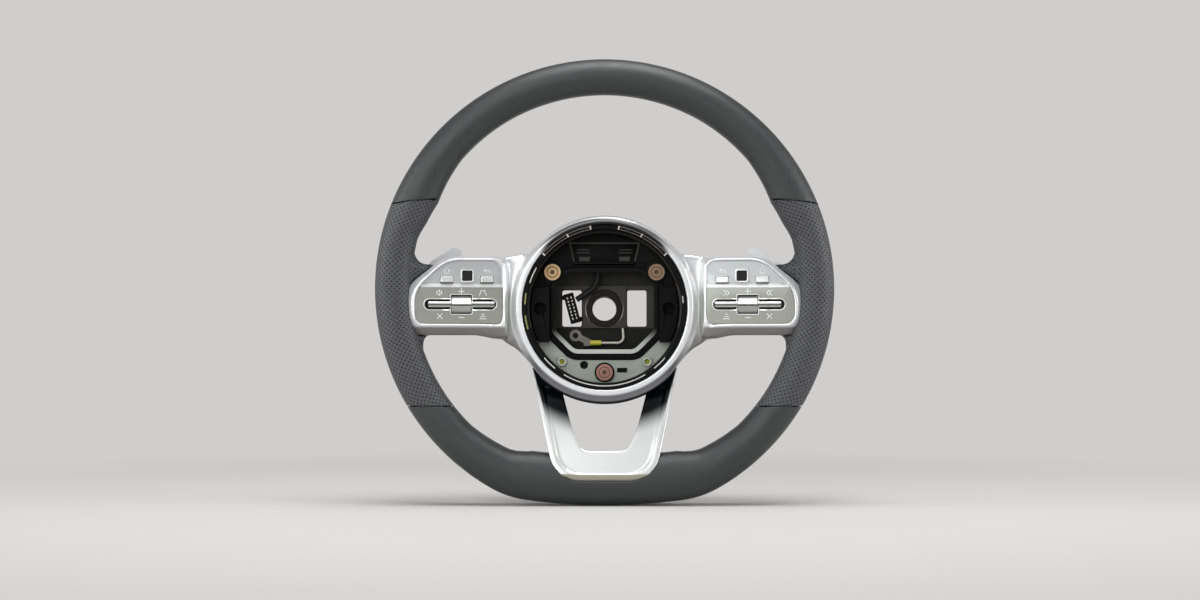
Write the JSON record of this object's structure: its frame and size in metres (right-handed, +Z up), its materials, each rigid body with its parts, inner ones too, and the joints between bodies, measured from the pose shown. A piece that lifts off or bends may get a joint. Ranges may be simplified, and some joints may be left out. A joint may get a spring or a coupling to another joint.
{
  "type": "car steering wheel",
  "caption": "Flat-bottomed car steering wheel with a leather rim, silver switch spokes, shift paddles and an open hub where the airbag seats.",
  "frame": {"origin": "on the axis of the column bore, at the floor of the hub", "axes": "+X to the driver's right, +Y away from the driver along the column, +Z up with the flat of the rim below"},
  "size_m": [0.3698, 0.0926, 0.3593],
  "materials": {
    "leather_smooth": "smooth dark grey leather",
    "leather_perforated": "perforated dark grey leather",
    "silver_trim": "satin silver lacquer",
    "silver_panel": "satin grey silver lacquer",
    "silver_key": "satin silver lacquer",
    "black_plastic": "fine grained black",
    "black_gloss": "gloss black",
    "grey_plate": "grained dark grey",
    "cast_metal": "as cast, dark coated",
    "steel": "turned and machined",
    "bolt_brass": "passivated",
    "grommet_rubber": "soft black",
    "yellow_sleeve": "clear yellow",
    "white_wire": "smooth",
    "black_wire": "taped",
    "tinned_copper": "tinned",
    "peg_nylon": "bare nylon",
    "circuit_green": "solder mask"
  },
  "bodies": {
    "wheel": {"hub_casting": "cast_metal", "rim_core": "steel", "column_boss": "steel", "front_bezel": "silver_trim", "well_liner": "black_plastic", "carrier_plate": "grey_plate", "guide_pegs": "peg_nylon", "lower_spoke_trim": "silver_trim", "rear_cover": "black_plastic", "rear_cover_screws": "steel", "shoulder_bolts": "bolt_brass", "bolt_grommets": "grommet_rubber", "ring_terminal": "tinned_copper", "crimp_sleeve": "yellow_sleeve", "earth_wire": "white_wire", "harness": "black_wire", "harness_plug": "black_plastic", "paddle_pins": "steel", "leather_top": "leather_smooth", "leather_left_grip": "leather_perforated", "leather_right_grip": "leather_perforated", "leather_bottom": "leather_smooth", "left_switch_panel": "silver_panel", "left_switch_housing": "black_plastic", "left_circuit_board": "circuit_green", "left_key_shaft": "steel", "left_paddle_bracket": "black_plastic", "left_contact_block": "black_plastic", "right_switch_panel": "silver_panel", "right_switch_housing": "black_plastic", "right_circuit_board": "circuit_green", "right_key_shaft": "steel", "right_paddle_bracket": "black_plastic", "right_contact_block": "black_plastic"},
    "left_outer_rocker_body": {"left_outer_rocker": "silver_key"},
    "left_inner_rocker_body": {"left_inner_rocker": "silver_key"},
    "left_roller_body": {"left_roller": "silver_key"},
    "left_outer_key_body": {"left_outer_key": "silver_key"},
    "left_inner_key_body": {"left_inner_key": "silver_key"},
    "left_touch_pad_body": {"left_touch_pad": "black_gloss"},
    "left_paddle_body": {"left_paddle": "silver_trim"},
    "right_outer_rocker_body": {"right_outer_rocker": "silver_key"},
    "right_inner_rocker_body": {"right_inner_rocker": "silver_key"},
    "right_roller_body": {"right_roller": "silver_key"},
    "right_outer_key_body": {"right_outer_key": "silver_key"},
    "right_inner_key_body": {"right_inner_key": "silver_key"},
    "right_touch_pad_body": {"right_touch_pad": "black_gloss"},
    "right_paddle_body": {"right_paddle": "silver_trim"}
  },
  "joints": [
    {"name": "left_outer_key_press", "type": "slide", "parent": "wheel", "child": "left_outer_key_body", "axis": [-0.1045, 0.9945, 0], "range_m": [0, 0.001], "stiffness_N_per_m": 500},
    {"name": "left_inner_key_press", "type": "slide", "parent": "wheel", "child": "left_inner_key_body", "axis": [-0.1045, 0.9945, 0], "range_m": [0, 0.001], "stiffness_N_per_m": 500},
    {"name": "left_touch_pad_press", "type": "slide", "parent": "wheel", "child": "left_touch_pad_body", "axis": [-0.1045, 0.9945, 0], "range_m": [0, 0.0005], "stiffness_N_per_m": 900},
    {"name": "left_outer_rocker_tip", "type": "hinge", "parent": "wheel", "child": "left_outer_rocker_body", "pos_m": [-0.13269, -0.05612, 0.0019], "axis": [0.9945, 0.1045, 0], "range_deg": [-8, 8], "stiffness_Nm_per_rad": 0.05},
    {"name": "left_inner_rocker_tip", "type": "hinge", "parent": "wheel", "child": "left_inner_rocker_body", "pos_m": [-0.09838, -0.05252, 0.0019], "axis": [0.9945, 0.1045, 0], "range_deg": [-8, 8], "stiffness_Nm_per_rad": 0.05},
    {"name": "left_roller_tip", "type": "hinge", "parent": "wheel", "child": "left_roller_body", "pos_m": [-0.11548, -0.05432, 0.0019], "axis": [0.9945, 0.1045, 0], "range_deg": [-12, 12], "stiffness_Nm_per_rad": 0.05},
    {"name": "left_paddle_pull", "type": "hinge", "parent": "wheel", "child": "left_paddle_body", "pos_m": [-0.08538, -0.01546, 0.0006], "axis": [0, 0, 1], "range_deg": [0, 6], "stiffness_Nm_per_rad": 0.5},
    {"name": "right_outer_key_press", "type": "slide", "parent": "wheel", "child": "right_outer_key_body", "axis": [0.1045, 0.9945, 0], "range_m": [0, 0.001], "stiffness_N_per_m": 500},
    {"name": "right_inner_key_press", "type": "slide", "parent": "wheel", "child": "right_inner_key_body", "axis": [0.1045, 0.9945, 0], "range_m": [0, 0.001], "stiffness_N_per_m": 500},
    {"name": "right_touch_pad_press", "type": "slide", "parent": "wheel", "child": "right_touch_pad_body", "axis": [0.1045, 0.9945, 0], "range_m": [0, 0.0005], "stiffness_N_per_m": 900},
    {"name": "right_outer_rocker_tip", "type": "hinge", "parent": "wheel", "child": "right_outer_rocker_body", "pos_m": [0.13269, -0.05612, 0.0019], "axis": [0.9945, -0.1045, 0], "range_deg": [-8, 8], "stiffness_Nm_per_rad": 0.05},
    {"name": "right_inner_rocker_tip", "type": "hinge", "parent": "wheel", "child": "right_inner_rocker_body", "pos_m": [0.09838, -0.05252, 0.0019], "axis": [0.9945, -0.1045, 0], "range_deg": [-8, 8], "stiffness_Nm_per_rad": 0.05},
    {"name": "right_roller_tip", "type": "hinge", "parent": "wheel", "child": "right_roller_body", "pos_m": [0.11548, -0.05432, 0.0019], "axis": [0.9945, -0.1045, 0], "range_deg": [-12, 12], "stiffness_Nm_per_rad": 0.05},
    {"name": "right_paddle_pull", "type": "hinge", "parent": "wheel", "child": "right_paddle_body", "pos_m": [0.08538, -0.01546, 0.0006], "axis": [0, 0, -1], "range_deg": [0, 6], "stiffness_Nm_per_rad": 0.5}
  ]
}
